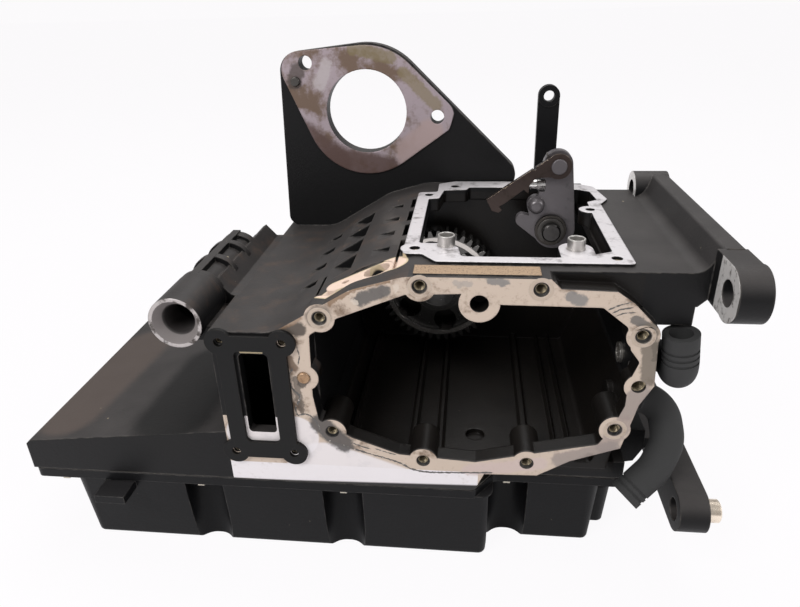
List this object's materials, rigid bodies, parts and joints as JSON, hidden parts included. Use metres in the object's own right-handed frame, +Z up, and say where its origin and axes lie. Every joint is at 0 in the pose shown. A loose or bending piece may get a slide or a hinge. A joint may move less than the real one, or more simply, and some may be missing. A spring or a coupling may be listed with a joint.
{
  "type": "gearbox housing",
  "caption": "Cast motorcycle gearbox housing on its oil pan, with side and top openings, starter flange, pivot beam, engine bar, oil hoses, main drive gear and shift arm with ratchet pawl.",
  "frame": {"origin": "on the floor plane, under the middle of the oil pan", "axes": "+X towards the engine side, +Y from the machined side face to the primary side, +Z up"},
  "size_m": [0.473, 0.26, 0.332],
  "materials": {
    "case_casting": "black wrinkle paint, machined faces bare",
    "pan_casting": "black satin paint",
    "gasket_paper": "oil-darkened fibre",
    "bolt_steel": "zinc plated, dulled",
    "gasket_rubber": "matt black with dried sealer",
    "dowel_steel": "bright, smooth",
    "pin_brown": "brown stained",
    "dark_steel": "black oxide",
    "engine_dowel_steel": "bright with a brassy tint",
    "bearing_steel": "ground",
    "seal_rubber": "matt",
    "bush_bronze": "oiled bronze",
    "spring_steel": "dark spring wire",
    "nipple_steel": "plated",
    "hose_rubber": "glossy black rubber",
    "gear_steel": "dark oiled steel, bright worn rim",
    "shaft_steel": "dark, worn bright at the tip",
    "carrier_steel": "black phosphate",
    "bright_steel": "bright plated",
    "lever_steel": "satin black",
    "pawl_steel": "worn grey-brown steel"
  },
  "bodies": {
    "housing": {"gearbox_case": "case_casting", "oil_pan": "pan_casting", "pan_gasket": "gasket_paper", "pan_bolts": "bolt_steel", "drain_plug": "bolt_steel", "spout_gasket": "gasket_rubber", "top_dowels": "dowel_steel", "cover_pin": "pin_brown", "starter_pin": "dark_steel", "engine_dowel": "engine_dowel_steel", "main_bearing": "bearing_steel", "bearing_snap_ring": "dark_steel", "main_seal": "seal_rubber", "counter_bearing": "bearing_steel", "shift_bush": "bush_bronze", "shift_seal": "seal_rubber", "centring_screw": "bolt_steel", "centring_locknut": "bolt_steel", "centring_spring": "spring_steel", "upper_hose_nipple": "nipple_steel", "lower_hose_nipple": "nipple_steel", "upper_oil_hose": "hose_rubber", "lower_oil_hose": "hose_rubber"},
    "main_gear": {"main_drive_gear": "gear_steel"},
    "shift_arm": {"shift_shaft": "shaft_steel", "shaft_clip": "dark_steel", "shaft_washer": "bolt_steel", "pawl_carrier": "carrier_steel", "stop_screw": "bright_steel", "pawl_pin": "carrier_steel", "outer_shift_lever": "lever_steel", "lever_clamp_bolt": "bolt_steel", "pawl_spring": "spring_steel"},
    "pawl": {"shift_pawl": "pawl_steel"}
  },
  "joints": [
    {"name": "main_gear_spin", "type": "hinge", "parent": "housing", "child": "main_gear", "pos_m": [0.08, 0.0575, 0.143], "axis": [0, 1, 0], "continuous": true},
    {"name": "shift_shaft_turn", "type": "hinge", "parent": "housing", "child": "shift_arm", "pos_m": [0.168, 0.08, 0.196], "axis": [0, 1, 0], "range_deg": [-12, 12], "stiffness_Nm_per_rad": 4, "deforming": ["centring_spring"]},
    {"name": "shift_pawl_turn", "type": "hinge", "parent": "shift_arm", "child": "pawl", "pos_m": [0.1704, 0.0448, 0.2468], "axis": [0, 1, 0], "range_deg": [-4, 10], "stiffness_Nm_per_rad": 1, "deforming": ["pawl_spring"]}
  ]
}
